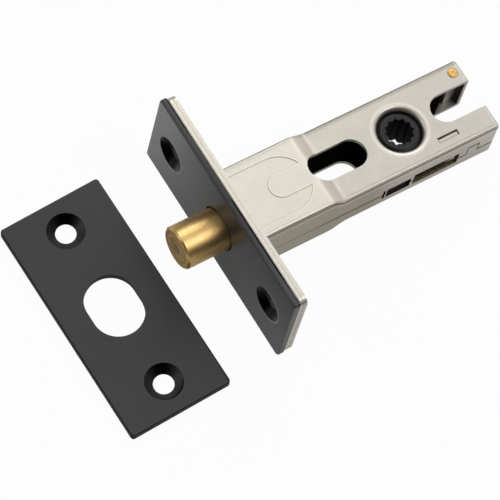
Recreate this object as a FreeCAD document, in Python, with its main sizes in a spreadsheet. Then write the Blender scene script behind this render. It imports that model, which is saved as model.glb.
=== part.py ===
import FreeCAD, Part
import math
import os

import Sketcher

# Privacy bolt for a flush door: two-part forend, two-shell case, splined hub that
# throws a round brass bolt through a fork-shaped slide, and the bolt's flat keep.
# Sizes are in millimetres. X is the way the bolt is thrown, Y runs along the forend
# and Z is square to the case's wide faces. Every piece is drawn from the forend's front
# face and then set forward, so that the origin is the centre of the forend's seat, where
# the inner plate lies against the door's edge.

SIZES = {
    # forend and keep
    "forend_length": 57.0,
    "forend_width": 25.4,
    "face_thick": 1.6,
    "plate_thick": 2.0,
    "face_corner": 0.9,
    "plate_corner": 2.0,
    "face_round": 0.5,
    "plate_round": 0.35,
    "screw_half_pitch": 20.7,
    "screw_hole": 4.8,
    "face_sink": 8.4,
    "keep_sink": 8.8,
    "keep_sink_angle": 100.0,
    "face_sink_angle": 90.0,
    "keep_thick": 2.0,
    "keep_corner": 0.8,
    "keep_round": 0.3,
    "keep_slot_wide": 12.1,
    "keep_slot_long": 15.2,
    "keep_screw_half": 20.9,
    "keep_ahead": 25.05,
    "keep_aside": 0.6,
    "keep_drop": 15.81,
    "keep_tilt": 6.2,
    "keep_turn": 0.9,
    # case
    "case_half": 9.5,
    "case_depth": 68.1,
    "case_wall": 1.0,
    "front_high": 7.56,
    "rear_high": 5.88,
    "upper_ridge": 23.3,
    "joggle_run": 3.4,
    "joggle_lag": 1.7,
    "joggle_round": 4.0,
    "bend_round": 0.7,
    "seam": 1.5,
    "seam_gap": 0.16,
    "tang_in": 4.5,
    "tang_out": 7.5,
    "tang_fit": 0.05,
    "fixing_front": 22.6,
    "fixing_before_hub": 9.45,
    "fixing_half": 3.6,
    "notch_past_hub": 8.65,
    "hub_roll": 1.1,
    "collar_wall": 1.3,
    "collar_reach": 4.0,
    "rivet_from_rear": 2.45,
    "rivet_side": 6.77,
    "rivet_radius": 1.2,
    "lock_tab_from_rear": 7.6,
    "lock_tab_long": 2.9,
    "lock_tab_top": 1.5,
    "gap_before_hub": 9.25,
    "gap_long": 0.7,
    "window_one_before_hub": 8.2,
    "window_one_long": 6.45,
    "window_one_top": 0.3,
    "window_two_before_hub": 0.95,
    "window_two_long": 12.1,
    "window_two_top": 0.95,
    "window_low": 3.35,
    "lance_past_hub": 6.35,
    "lance_long": 5.15,
    "lance_in": 6.05,
    "lance_out": 6.9,
    "lance_gap": 0.3,
    "lance_sink": 0.3,
    "coin_front": 5.5,
    "coin_centre": 15.1,
    "coin_radius": 7.0,
    "coin_inner": 3.0,
    "coin_deep": 0.12,
    # bolt nose and its guide
    "nose_radius": 5.12,
    "nose_reach": 10.8,
    "nose_chamfer": 0.4,
    "nose_shoulder": 7.0,
    "nose_fit": 0.09,
    "mouth_gap": 0.32,
    "ring_in": 2.75,
    "ring_out": 3.1,
    "ring_deep": 0.08,
    "tail_radius": 4.0,
    "tail_fit": 0.04,
    "guide_long": 3.0,
    "guide_half": 8.2,
    "guide_high": 6.2,
    "guide_corner": 1.2,
    "pin_radius": 1.0,
    "pin_back": 8.85,
    "pin_half": 5.6,
    # slide
    "slide_half": 8.2,
    "slide_high": 3.6,
    "web_high": 5.9,
    "web_rear": 10.7,
    "rail_in": 4.75,
    "hub_rail_in": 5.45,
    "rail_play": 0.44,
    "far_rail_past_hub": 5.45,
    "near_rail_past_hub": 8.75,
    "drive_gap": 0.32,
    "drive_floor": 1.8,
    "leaf_before_hub": 0.55,
    "leaf_long": 8.7,
    "leaf_low": 3.25,
    "leaf_top": 1.45,
    "leaf_seat": 1.0,
    "leaf_bow": 0.82,
    "leaf_thick": 0.3,
    "leaf_play": 0.1,
    # hub
    "hub_from_rear": 21.05,
    "hub_radius": 5.2,
    "hub_fit": 0.08,
    "hub_waist": 5.0,
    "hub_half": 5.0,
    "hub_journal": 3.75,
    "hub_chamfer": 0.8,
    "hub_drop": 0.45,
    "crank_throw": 7.4,
    "crank_tip": 0.85,
    "crank_neck": 0.6,
    "crank_half": 1.4,
    "crank_angle": 47.0,
    "spindle_side": 5.0,
    "spindle_clear": 3.0,
    # black linings of the fixing slot and of the rear notch
    "lining_half": 3.68,
    "lining_wall": 0.8,
    "notch_lining_from_rear": 6.9,
    # block in the far prong
    "block_from_rear": 3.9,
    "block_long": 2.8,
    "block_in": 5.2,
    "block_out": 8.3,
    "block_high": 4.8,
}

os.makedirs("parts", exist_ok=True)
doc = FreeCAD.newDocument("privacy_bolt")
sheet = doc.addObject("Spreadsheet::Sheet", "Sizes")
for row, (alias, amount) in enumerate(SIZES.items(), start=1):
    sheet.set("A%d" % row, alias)
    sheet.set("B%d" % row, str(amount))
    sheet.setAlias("B%d" % row, alias)

DERIVED = {
    "plate_back": "=face_thick + plate_thick",
    "hub_back": "=case_depth - hub_from_rear",
    "upper_foot": "=upper_ridge + joggle_run",
    "lower_ridge": "=upper_ridge + joggle_lag",
    "lower_foot": "=upper_ridge + joggle_lag + joggle_run",
    "fixing_rear": "=hub_back - fixing_before_hub",
    "notch_bottom": "=hub_back + notch_past_hub",
    "rivet_back": "=case_depth - rivet_from_rear",
    "lock_tab_front": "=case_depth - lock_tab_from_rear",
    "lock_tab_rear": "=case_depth - lock_tab_from_rear + lock_tab_long",
    "gap_front": "=hub_back - gap_before_hub",
    "gap_rear": "=hub_back - gap_before_hub + gap_long",
    "window_one_front": "=hub_back - window_one_before_hub",
    "window_one_rear": "=hub_back - window_one_before_hub + window_one_long",
    "window_two_front": "=hub_back - window_two_before_hub",
    "window_two_rear": "=hub_back - window_two_before_hub + window_two_long",
    "lance_front": "=hub_back + lance_past_hub",
    "lance_rear": "=hub_back + lance_past_hub + lance_long",
    "crank_travel": "=2 * crank_throw * sin(crank_angle * 1 deg)",
    "rail_step": "=hub_back - crank_travel - hub_radius - rail_play",
    "far_rail_end": "=hub_back + far_rail_past_hub",
    "near_rail_end": "=hub_back + near_rail_past_hub",
    "leaf_front": "=hub_back - leaf_before_hub",
    "leaf_rear": "=hub_back - leaf_before_hub + leaf_long",
    "notch_lining_end": "=case_depth - notch_lining_from_rear",
    "block_front": "=case_depth - block_from_rear",
    "block_rear": "=case_depth - block_from_rear + block_long",
    "face_back": "=-face_thick",
    "plate_sink": "=face_sink - 2 * face_thick",
    "case_front": "=-plate_back",
    "half_length": "=forend_length / 2",
    "half_width": "=forend_width / 2",
    "screw_radius": "=screw_hole / 2",
    "keep_slot_half": "=keep_slot_wide / 2",
    "keep_slot_run": "=(keep_slot_long - keep_slot_wide) / 2",
    "wall_mid": "=case_half - case_wall / 2",
    "window_cut": "=case_wall * 2.4",
    "upper_seam": "=seam - seam_gap / 2",
    "lower_seam": "=seam + seam_gap / 2",
    "case_width": "=case_half * 2",
    "inner_width": "=(case_half - case_wall) * 2",
    "front_inner": "=front_high - case_wall",
    "rear_inner": "=rear_high - case_wall",
    "depth_inner": "=case_depth - case_wall",
    "step_high": "=front_high - rear_high",
    "upper_shift": "=case_wall * tan(atan(step_high / (upper_foot - upper_ridge)) / 2)",
    "lower_shift": "=case_wall * tan(atan(step_high / (lower_foot - lower_ridge)) / 2)",
    "upper_ridge_inner": "=upper_ridge - upper_shift",
    "upper_foot_inner": "=upper_foot - upper_shift",
    "lower_ridge_inner": "=lower_ridge - lower_shift",
    "lower_foot_inner": "=lower_foot - lower_shift",
    "tang_long": "=plate_thick - tang_fit",
    "tang_low": "=front_high - case_wall",
    "tang_slot_in": "=tang_in - tang_fit",
    "tang_slot_out": "=tang_out + tang_fit",
    "tang_slot_low": "=front_high - case_wall - tang_fit",
    "tang_slot_top": "=front_high + tang_fit",
    "fixing_front_mid": "=fixing_front + fixing_half",
    "fixing_rear_mid": "=fixing_rear - fixing_half",
    "notch_mid": "=notch_bottom + fixing_half",
    "notch_open": "=case_depth + 1",
    "hub_bore": "=hub_radius + hub_fit",
    "collar_out": "=hub_radius + hub_fit + collar_wall",
    "roll_low": "=rear_high - hub_roll",
    "roll_at": "=hub_radius + hub_fit + hub_roll - hub_back",
    "lining_out": "=lining_half + lining_wall",
    "lining_tall": "=rear_inner * 2",
    "hub_centre": "=-hub_back",
    "hub_at": "=hub_radius + hub_fit / 2 - hub_back",
    "collar_at": "=collar_out - hub_back",
    "collar_root": "=rear_high - case_wall / 2",
    "collar_reach_past": "=collar_reach - 1",
    "bore_at": "=hub_bore - hub_back",
    "rear_past": "=rear_high + 1",
    "lock_slot_front": "=lock_tab_front - seam_gap",
    "lock_slot_rear": "=lock_tab_rear + seam_gap",
    "lock_slot_top": "=lock_tab_top + seam_gap",
    "clear_top": "=lock_tab_top + 2",
    "clear_low": "=seam + 2",
    "clear_front": "=plate_back - 1",
    "lance_gap_in": "=lance_in - lance_gap",
    "lance_cut": "=lance_sink * 2",
    "coin_cut": "=coin_deep * 2",
    "coin_tip": "=coin_centre + sqrt(coin_radius * coin_radius - coin_inner * coin_inner)",
    "nose_bore": "=nose_radius + nose_fit",
    "mouth_radius": "=nose_radius + mouth_gap",
    "nose_edge": "=nose_radius - nose_chamfer",
    "nose_chamfer_at": "=nose_reach - nose_chamfer",
    "ring_floor": "=nose_reach - ring_deep",
    "tail_bore": "=tail_radius + tail_fit",
    "pin_long": "=pin_half * 2",
    "rail_thick": "=slide_high * 2",
    "slide_width": "=slide_half * 2",
    "drive_mid": "=(hub_rail_in + slide_half) / 2",
    "drive_span": "=slide_half - hub_rail_in + 1",
    "slide_front": "=(nose_shoulder + web_rear) / 2",
    "drive_back": "=hub_back - crank_throw * sin(crank_angle * 1 deg)",
    "drive_half": "=crank_tip + drive_gap",
    "drive_front": "=drive_back - drive_half",
    "drive_rear": "=drive_back + drive_half",
    "drive_top": "=slide_high + 1",
    "leaf_floor": "=slide_half - leaf_seat",
    "leaf_seat_cut": "=leaf_seat * 2",
    "leaf_level": "=(leaf_low + leaf_top) / 2",
    "leaf_seat_front": "=leaf_front - leaf_play",
    "leaf_seat_rear": "=leaf_rear + leaf_play",
    "leaf_seat_low": "=leaf_low + leaf_play",
    "leaf_seat_top": "=leaf_top - leaf_play",
    "leaf_inner": "=leaf_floor + leaf_play / 2",
    "leaf_outer": "=leaf_inner + leaf_thick",
    "leaf_half": "=(leaf_rear - leaf_front) / 2",
    "leaf_bend": "=(leaf_half * leaf_half + leaf_bow * leaf_bow) / (2 * leaf_bow)",
    "leaf_centre_out": "=leaf_outer + leaf_bow - leaf_bend",
    "leaf_centre": "=leaf_inner + leaf_bow - leaf_bend",
    "leaf_mid": "=(leaf_front + leaf_rear) / 2",
    "leaf_depth": "=leaf_low - leaf_top",
    "hub_edge": "=hub_radius - hub_chamfer",
    "hub_edge_at": "=hub_half - hub_drop",
    "crank_thick": "=crank_half * 2",
    "block_tall": "=block_high * 2",
    "rivet_long": "=rear_high * 2",
    "spindle_half": "=spindle_side / 2",
}
for row, (alias, formula) in enumerate(DERIVED.items(), start=len(SIZES) + 1):
    sheet.set("A%d" % row, alias)
    sheet.set("B%d" % row, formula)
    sheet.setAlias("B%d" % row, alias)
doc.recompute()


def size(spec):
    """Value of a sheet size; a leading minus turns it round and "0" is zero."""
    if spec == "0":
        return 0.0
    if spec.startswith("-"):
        return -float(sheet.get(spec[1:]))
    return float(sheet.get(spec))


def link(spec):
    """Expression that ties a property to a sheet size."""
    if spec.startswith("-"):
        return "-Sizes." + spec[1:]
    return "Sizes." + spec


def new_body(name):
    body = doc.addObject("PartDesign::Body", name)
    body.Label = name
    return body


def new_sketch(body, name, plane, level="0"):
    """Sketch on one of the body's own planes, moved along its normal by a sheet size."""
    sketch = body.newObject("Sketcher::SketchObject", name)
    for feature in body.Origin.OriginFeatures:
        if feature.Role == plane:
            sketch.AttachmentSupport = [(feature, "")]
    sketch.MapMode = "FlatFace"
    if level != "0":
        sketch.setExpression("AttachmentOffset.Base.z", link(level))
    return sketch


def hold(sketch, geometry, corner, kind, spec):
    """Hold one coordinate of a sketch point at a sheet size."""
    if spec == "0":
        axis = -2 if kind == "DistanceX" else -1
        sketch.addConstraint(Sketcher.Constraint("PointOnObject", geometry, corner, axis))
    else:
        held = Sketcher.Constraint(kind, -1, 1, geometry, corner, size(spec))
        index = sketch.addConstraint(held)
        sketch.setExpression("Constraints[%d]" % index, link(spec))


def pin_point(sketch, geometry, corner, across, up):
    hold(sketch, geometry, corner, "DistanceX", across)
    hold(sketch, geometry, corner, "DistanceY", up)


def arc_between(first, last, centre, turn):
    """Arc from first to last about centre, turning left if turn is positive."""
    low, high = (first, last) if turn > 0 else (last, first)
    begin = math.atan2(low.y - centre.y, low.x - centre.x)
    finish = math.atan2(high.y - centre.y, high.x - centre.x)
    circle = Part.Circle(centre, FreeCAD.Vector(0, 0, 1), first.distanceToPoint(centre))
    return Part.ArcOfCircle(circle, begin, finish)


def outline(sketch, points, arcs=None):
    """Closed outline through points; arcs maps a segment to its centre and turn."""
    arcs = arcs or {}
    vectors = [FreeCAD.Vector(size(a), size(b), 0) for a, b in points]
    ends = []
    count = len(points)
    for k in range(count):
        first = vectors[k]
        last = vectors[(k + 1) % count]
        if k in arcs:
            (mid_x, mid_y), turn = arcs[k]
            centre = FreeCAD.Vector(size(mid_x), size(mid_y), 0)
            arc = arc_between(first, last, centre, turn)
            index = sketch.addGeometry(arc, False)
            ends.append((index, 1, 2) if turn > 0 else (index, 2, 1))
        else:
            index = sketch.addGeometry(Part.LineSegment(first, last), False)
            ends.append((index, 1, 2))
    for k in range(count):
        index, _, finish = ends[k]
        following, begin, _ = ends[(k + 1) % count]
        sketch.addConstraint(Sketcher.Constraint("Coincident", index, finish, following, begin))
    for k, (across, up) in enumerate(points):
        index, begin, _ = ends[k]
        pin_point(sketch, index, begin, across, up)
    for k, ((mid_x, mid_y), _) in arcs.items():
        span = vectors[(k + 1) % count].sub(vectors[k])
        if abs(span.y) > abs(span.x):
            hold(sketch, ends[k][0], 3, "DistanceX", mid_x)
        else:
            hold(sketch, ends[k][0], 3, "DistanceY", mid_y)
    return sketch


def box_outline(sketch, left, right, low, high):
    return outline(sketch, [(left, low), (right, low), (right, high), (left, high)])


def ring_outline(sketch, across, up, radius):
    centre = FreeCAD.Vector(size(across), size(up), 0)
    circle = Part.Circle(centre, FreeCAD.Vector(0, 0, 1), size(radius))
    index = sketch.addGeometry(circle, False)
    pin_point(sketch, index, 3, across, up)
    held = sketch.addConstraint(Sketcher.Constraint("Radius", index, size(radius)))
    sketch.setExpression("Constraints[%d]" % held, link(radius))
    return sketch


def spin_line(sketch, across):
    """Construction line square to the sketch's X axis, to turn a profile about."""
    top = FreeCAD.Vector(size(across), 1, 0)
    foot = FreeCAD.Vector(size(across), 0, 0)
    index = sketch.addGeometry(Part.LineSegment(foot, top), True)
    pin_point(sketch, index, 1, across, "0")
    sketch.addConstraint(Sketcher.Constraint("Vertical", index))
    sketch.addConstraint(Sketcher.Constraint("DistanceY", index, 1, index, 2, 1.0))
    return sketch


def both_ways(body, kind, name, sketch, length):
    """Pad or pocket that reaches half its length to each side of the sketch."""
    feature = body.newObject(kind, name)
    feature.Profile = sketch
    feature.SideType = "Symmetric"
    feature.setExpression("Length", link(length))
    body.Tip = feature
    return feature


def one_way(body, kind, name, sketch, length, reverse=False):
    feature = body.newObject(kind, name)
    feature.Profile = sketch
    feature.setExpression("Length", link(length))
    feature.Reversed = reverse
    body.Tip = feature
    return feature


def through(body, name, sketch):
    """Pocket that runs right through, both ways from its sketch."""
    feature = body.newObject("PartDesign::Pocket", name)
    feature.Profile = sketch
    feature.SideType = "Symmetric"
    feature.Length = 200.0
    body.Tip = feature
    return feature


def turned(body, kind, name, sketch, axis):
    feature = body.newObject(kind, name)
    feature.Profile = sketch
    feature.ReferenceAxis = (sketch, [axis])
    feature.Angle = 360.0
    body.Tip = feature
    return feature


def edges_where(feature, test):
    """Names of the edges whose box and middle pass the test."""
    names = []
    for k, edge in enumerate(feature.Shape.Edges, start=1):
        if test(edge.BoundBox):
            names.append("Edge%d" % k)
    return names


def rounded(body, name, base, test, radius):
    doc.recompute()
    fillet = body.newObject("PartDesign::Fillet", name)
    fillet.Base = (base, edges_where(base, test))
    fillet.setExpression("Radius", link(radius))
    body.Tip = fillet
    return fillet


def near(first, second):
    return abs(first - second) < 0.01


# Forend
def plate(name, back, thick, corner, edge, sink, bore):
    """Forend plate seen along X, with countersunk screw holes and a hole for the bolt."""
    body = new_body(name)
    shape = new_sketch(body, name + "_outline", "YZ_Plane", back)
    box_outline(shape, "-half_length", "half_length", "-half_width", "half_width")
    pad = one_way(body, "PartDesign::Pad", name + "_pad", shape, thick, reverse=True)
    front = size(back)
    deep = size(thick)

    def is_corner(box):
        return near(box.XLength, deep)

    def is_front(box):
        return near(box.XMax, front) and near(box.XLength, 0.0)

    base = rounded(body, name + "_corners", pad, is_corner, corner)
    base = rounded(body, name + "_edge", base, is_front, edge)
    mouth = new_sketch(body, name + "_mouth", "YZ_Plane", back)
    ring_outline(mouth, "0", "0", bore)
    through(body, name + "_bolt_hole", mouth)
    screws = new_sketch(body, name + "_screws", "YZ_Plane", back)
    ring_outline(screws, "-screw_half_pitch", "0", "screw_radius")
    ring_outline(screws, "screw_half_pitch", "0", "screw_radius")
    doc.recompute()
    hole = body.newObject("PartDesign::Hole", name + "_screw_holes")
    hole.Profile = screws
    hole.ThreadType = "None"
    hole.DepthType = "ThroughAll"
    hole.setExpression("Diameter", link("screw_hole"))
    hole.HoleCutType = "Countersink"
    hole.setExpression("HoleCutDiameter", link(sink))
    hole.setExpression("HoleCutCountersinkAngle", link("face_sink_angle"))
    body.Tip = hole
    return body


faceplate = plate(
    "faceplate", "0", "face_thick", "face_corner", "face_round", "face_sink", "mouth_radius"
)
forend = plate(
    "forend_plate",
    "face_back",
    "plate_thick",
    "plate_corner",
    "plate_round",
    "plate_sink",
    "nose_bore",
)
slots = new_sketch(forend, "tang_slots", "YZ_Plane")
for near_edge, far_edge in (("tang_slot_in", "tang_slot_out"), ("-tang_slot_out", "-tang_slot_in")):
    box_outline(slots, near_edge, far_edge, "tang_slot_low", "tang_slot_top")
    box_outline(slots, near_edge, far_edge, "-tang_slot_top", "-tang_slot_low")
through(forend, "tang_slot_cut", slots)


# Case shells
def shell(name, side, ridge, foot, seam_level, seam_past):
    """One pressed half of the case; side is "" for the upper and "-" for the lower."""
    body = new_body(name)
    profile = new_sketch(body, name + "_profile", "XZ_Plane")
    outline(
        profile,
        [
            ("-plate_back", seam_level),
            ("-plate_back", side + "front_high"),
            ("-" + ridge, side + "front_high"),
            ("-" + foot, side + "rear_high"),
            ("-case_depth", side + "rear_high"),
            ("-case_depth", seam_level),
        ],
    )
    pad = both_ways(body, "PartDesign::Pad", name + "_blank", profile, "case_width")
    width = size("case_width")
    ridge_at = -size(ridge)
    foot_at = -size(foot)
    rear_at = -size("case_depth")
    front_at = -size("plate_back")
    seam_at = size(seam_level)
    half = size("case_half")

    def is_joggle(box):
        across = near(box.YLength, width)
        return across and (near(box.XMin, ridge_at) or near(box.XMin, foot_at))

    base = rounded(body, name + "_joggle", pad, is_joggle, "joggle_round")

    def is_bend(box):
        on_seam = near(box.ZLength, 0.0) and near(box.ZMin, seam_at)
        if on_seam or near(box.XMin, front_at):
            return False
        on_side = near(box.YLength, 0.0) and near(abs(box.YMin), half)
        at_rear = near(box.XLength, 0.0) and near(box.XMin, rear_at)
        return on_side or at_rear

    base = rounded(body, name + "_bends", base, is_bend, "bend_round")
    hollow = new_sketch(body, name + "_hollow_outline", "XZ_Plane")
    outline(
        hollow,
        [
            ("-clear_front", seam_past),
            ("-clear_front", side + "front_inner"),
            ("-" + ridge + "_inner", side + "front_inner"),
            ("-" + foot + "_inner", side + "rear_inner"),
            ("-depth_inner", side + "rear_inner"),
            ("-depth_inner", seam_past),
        ],
    )
    both_ways(body, "PartDesign::Pocket", name + "_hollow", hollow, "inner_width")

    tangs = new_sketch(body, name + "_tang_outline", "YZ_Plane", "case_front")
    for low, high in (("tang_in", "tang_out"), ("-tang_out", "-tang_in")):
        box_outline(tangs, low, high, side + "tang_low", side + "front_high")
    one_way(body, "PartDesign::Pad", name + "_tangs", tangs, "tang_long")

    collar = new_sketch(body, name + "_collar_outline", "XZ_Plane")
    outline(
        collar,
        [
            ("hub_at", side + "collar_reach"),
            ("collar_at", side + "collar_reach"),
            ("collar_at", side + "collar_root"),
            ("hub_at", side + "collar_root"),
        ],
    )
    spin_line(collar, "hub_centre")
    turned(body, "PartDesign::Revolution", name + "_collar", collar, "Axis0")
    dish = new_sketch(body, name + "_dish_outline", "XZ_Plane")
    outline(
        dish,
        [
            ("hub_centre", side + "collar_reach_past"),
            ("bore_at", side + "collar_reach_past"),
            ("bore_at", side + "roll_low"),
            ("roll_at", side + "rear_high"),
            ("roll_at", side + "rear_past"),
            ("hub_centre", side + "rear_past"),
        ],
        {2: (("roll_at", side + "roll_low"), -1 if side == "" else 1)},
    )
    turned(body, "PartDesign::Groove", name + "_dish", dish, "Edge6")

    openings = new_sketch(body, name + "_opening_outline", "XY_Plane")
    outline(
        openings,
        [
            ("-fixing_front_mid", "fixing_half"),
            ("-fixing_rear_mid", "fixing_half"),
            ("-fixing_rear_mid", "-fixing_half"),
            ("-fixing_front_mid", "-fixing_half"),
        ],
        {
            1: (("-fixing_rear_mid", "0"), 1),
            3: (("-fixing_front_mid", "0"), 1),
        },
    )
    outline(
        openings,
        [
            ("-notch_open", "-fixing_half"),
            ("-notch_mid", "-fixing_half"),
            ("-notch_mid", "fixing_half"),
            ("-notch_open", "fixing_half"),
        ],
        {1: (("-notch_mid", "0"), 1)},
    )
    ring_outline(openings, "-rivet_back", "-rivet_side", "rivet_radius")
    through(body, name + "_openings", openings)

    windows = new_sketch(body, name + "_window_outline", "XZ_Plane", "-wall_mid")
    for rear, front, top in (
        ("-window_one_rear", "-window_one_front", "window_one_top"),
        ("-window_two_rear", "-window_two_front", "window_two_top"),
        ("-gap_rear", "-gap_front", "window_one_top"),
    ):
        box_outline(windows, rear, front, "-window_low", top)
    both_ways(body, "PartDesign::Pocket", name + "_windows", windows, "window_cut")
    return body


upper = shell("case_upper", "", "upper_ridge", "upper_foot", "-upper_seam", "-clear_low")
lock_slot = new_sketch(upper, "lock_slot_outline", "XZ_Plane")
box_outline(lock_slot, "-lock_slot_rear", "-lock_slot_front", "-clear_low", "lock_slot_top")
through(upper, "lock_slot", lock_slot)
lance = new_sketch(upper, "lance_outline", "XY_Plane", "rear_high")
box_outline(lance, "-lance_rear", "-lance_front", "lance_in", "lance_out")
both_ways(upper, "PartDesign::Pocket", "lance_step", lance, "lance_cut")
lance_slit = new_sketch(upper, "lance_slit_outline", "XY_Plane", "rear_high")
box_outline(lance_slit, "-lance_rear", "-lance_front", "lance_gap_in", "lance_in")
both_ways(upper, "PartDesign::Pocket", "lance_slit", lance_slit, "window_cut")
coin = new_sketch(upper, "coin_outline", "XY_Plane", "front_high")
outline(
    coin,
    [
        ("-coin_front", "-coin_radius"),
        ("-coin_front", "coin_radius"),
        ("-coin_centre", "coin_radius"),
        ("-coin_tip", "coin_inner"),
        ("-coin_centre", "coin_inner"),
        ("-coin_centre", "-coin_inner"),
        ("-coin_tip", "-coin_inner"),
        ("-coin_centre", "-coin_radius"),
    ],
    {
        2: (("-coin_centre", "0"), 1),
        4: (("-coin_centre", "0"), -1),
        6: (("-coin_centre", "0"), 1),
    },
)
both_ways(upper, "PartDesign::Pocket", "coined_fork", coin, "coin_cut")

lower = shell("case_lower", "-", "lower_ridge", "lower_foot", "lock_tab_top", "clear_top")
trim = new_sketch(lower, "seam_trim", "XZ_Plane")
box_outline(trim, "-lock_tab_front", "-clear_front", "-lower_seam", "clear_top")
box_outline(trim, "-notch_open", "-lock_tab_rear", "-lower_seam", "clear_top")
through(lower, "seam_cut", trim)

# Bolt nose, its guide and its cross pin
guide = new_body("nose_guide")
guide_shape = new_sketch(guide, "guide_outline", "YZ_Plane", "case_front")
box_outline(guide_shape, "-guide_half", "guide_half", "-guide_high", "guide_high")
guide_pad = one_way(guide, "PartDesign::Pad", "guide_block", guide_shape, "guide_long", True)


def is_guide_corner(box):
    return near(box.XLength, size("guide_long"))


rounded(guide, "guide_corners", guide_pad, is_guide_corner, "guide_corner")
guide_bore = new_sketch(guide, "guide_bore_outline", "YZ_Plane")
ring_outline(guide_bore, "0", "0", "nose_bore")
through(guide, "guide_bore", guide_bore)

nose = new_body("bolt_nose")
nose_shape = new_sketch(nose, "nose_outline", "XZ_Plane")
outline(
    nose_shape,
    [
        ("-web_rear", "0"),
        ("-web_rear", "tail_radius"),
        ("-nose_shoulder", "tail_radius"),
        ("-nose_shoulder", "nose_radius"),
        ("nose_chamfer_at", "nose_radius"),
        ("nose_reach", "nose_edge"),
        ("nose_reach", "ring_out"),
        ("ring_floor", "ring_out"),
        ("ring_floor", "ring_in"),
        ("nose_reach", "ring_in"),
        ("nose_reach", "0"),
    ],
)
turned(nose, "PartDesign::Revolution", "nose_turning", nose_shape, "H_Axis")
nose_hole = new_sketch(nose, "nose_pin_outline", "XY_Plane")
ring_outline(nose_hole, "-pin_back", "0", "pin_radius")
through(nose, "nose_pin_hole", nose_hole)

pin = new_body("nose_pin")
pin_shape = new_sketch(pin, "pin_outline", "XY_Plane")
ring_outline(pin_shape, "-pin_back", "0", "pin_radius")
both_ways(pin, "PartDesign::Pad", "pin_bar", pin_shape, "pin_long")

# Slide: two rails joined in front, with the cross slot that the crank drives
slide = new_body("bolt_slide")
rails = new_sketch(slide, "rail_outline", "XY_Plane")
outline(
    rails,
    [
        ("-slide_front", "slide_half"),
        ("-near_rail_end", "slide_half"),
        ("-near_rail_end", "hub_rail_in"),
        ("-rail_step", "hub_rail_in"),
        ("-rail_step", "rail_in"),
        ("-web_rear", "rail_in"),
        ("-web_rear", "-rail_in"),
        ("-rail_step", "-rail_in"),
        ("-rail_step", "-hub_rail_in"),
        ("-far_rail_end", "-hub_rail_in"),
        ("-far_rail_end", "-slide_half"),
        ("-slide_front", "-slide_half"),
    ],
)
both_ways(slide, "PartDesign::Pad", "rails", rails, "rail_thick")
web = new_sketch(slide, "web_outline", "XZ_Plane")
box_outline(web, "-web_rear", "-nose_shoulder", "-web_high", "web_high")
both_ways(slide, "PartDesign::Pad", "web", web, "slide_width")
slide_bore = new_sketch(slide, "tail_bore_outline", "YZ_Plane")
ring_outline(slide_bore, "0", "0", "tail_bore")
through(slide, "tail_bore", slide_bore)
slide_pin = new_sketch(slide, "slide_pin_outline", "XY_Plane")
ring_outline(slide_pin, "-pin_back", "0", "pin_radius")
through(slide, "slide_pin_hole", slide_pin)
drive = new_sketch(slide, "drive_outline", "XZ_Plane", "-drive_mid")
box_outline(drive, "-drive_rear", "-drive_front", "-drive_floor", "drive_top")
both_ways(slide, "PartDesign::Pocket", "drive_slot", drive, "drive_span")
seat = new_sketch(slide, "leaf_seat_outline", "XZ_Plane", "-slide_half")
box_outline(seat, "-leaf_seat_rear", "-leaf_seat_front", "-leaf_seat_low", "-leaf_seat_top")
both_ways(slide, "PartDesign::Pocket", "leaf_seat", seat, "leaf_seat_cut")

leaf = new_body("friction_spring")
leaf_shape = new_sketch(leaf, "leaf_outline", "XY_Plane", "-leaf_level")
outline(
    leaf_shape,
    [
        ("-leaf_front", "leaf_inner"),
        ("-leaf_front", "leaf_outer"),
        ("-leaf_rear", "leaf_outer"),
        ("-leaf_rear", "leaf_inner"),
    ],
    {
        1: (("-leaf_mid", "leaf_centre_out"), 1),
        3: (("-leaf_mid", "leaf_centre"), -1),
    },
)
both_ways(leaf, "PartDesign::Pad", "leaf", leaf_shape, "leaf_depth")

# Black linings that the through bolts pass, closed round the slot and open at the notch
slot_lining = new_body("slot_lining")
slot_wall = new_sketch(slot_lining, "slot_lining_outline", "XY_Plane")
for half in ("lining_half", "lining_out"):
    outline(
        slot_wall,
        [
            ("-fixing_front_mid", half),
            ("-fixing_rear_mid", half),
            ("-fixing_rear_mid", "-" + half),
            ("-fixing_front_mid", "-" + half),
        ],
        {1: (("-fixing_rear_mid", "0"), 1), 3: (("-fixing_front_mid", "0"), 1)},
    )
both_ways(slot_lining, "PartDesign::Pad", "slot_lining_wall", slot_wall, "lining_tall")

notch_lining = new_body("notch_lining")
notch_wall = new_sketch(notch_lining, "notch_lining_outline", "XY_Plane")
outline(
    notch_wall,
    [
        ("-notch_lining_end", "-lining_out"),
        ("-notch_mid", "-lining_out"),
        ("-notch_mid", "lining_out"),
        ("-notch_lining_end", "lining_out"),
        ("-notch_lining_end", "lining_half"),
        ("-notch_mid", "lining_half"),
        ("-notch_mid", "-lining_half"),
        ("-notch_lining_end", "-lining_half"),
    ],
    {1: (("-notch_mid", "0"), 1), 5: (("-notch_mid", "0"), -1)},
)
both_ways(notch_lining, "PartDesign::Pad", "notch_lining_wall", notch_wall, "lining_tall")

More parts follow.
